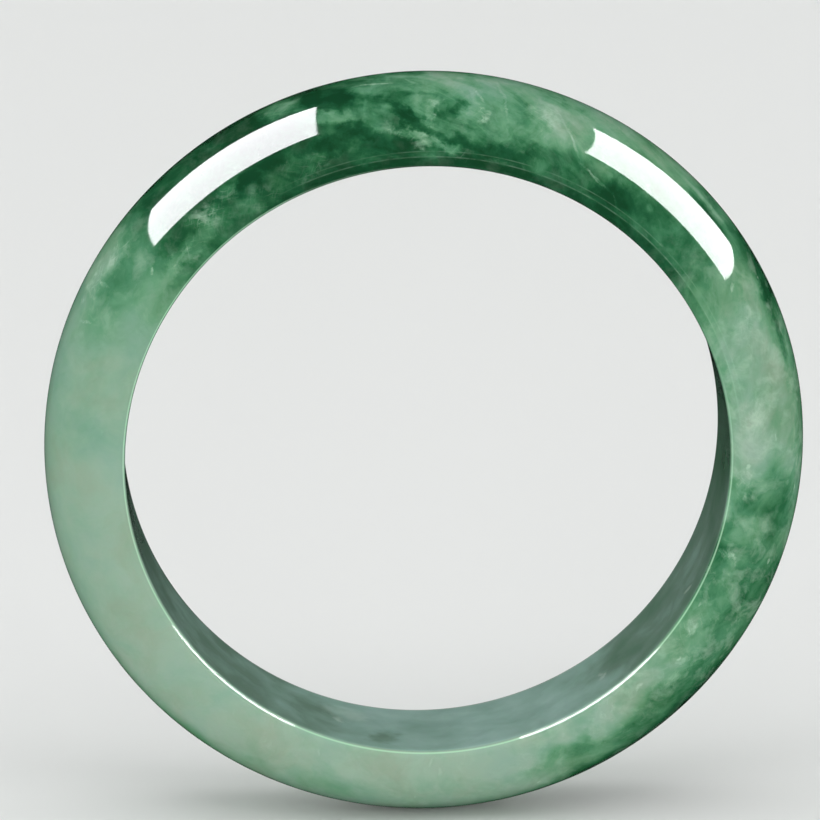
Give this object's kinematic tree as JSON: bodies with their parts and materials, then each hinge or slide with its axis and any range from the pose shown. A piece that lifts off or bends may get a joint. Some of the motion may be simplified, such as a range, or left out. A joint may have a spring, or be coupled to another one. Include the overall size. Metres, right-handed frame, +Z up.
{
  "type": "bangle bracelet",
  "caption": "Closed round bangle with a straight bore, softened edges and a domed outer face, worn loose on the wrist.",
  "frame": {"origin": "centre of the bore, halfway between the two sides", "axes": "the bore runs along Y with the front facing -Y; +Z is up, so the bangle stands on its domed outer face"},
  "size_m": [0.0708, 0.0136, 0.0708],
  "materials": {
    "polished_jadeite": "mirror polished"
  },
  "bodies": {
    "root": {"jade_ring": "polished_jadeite"}
  },
  "joints": []
}
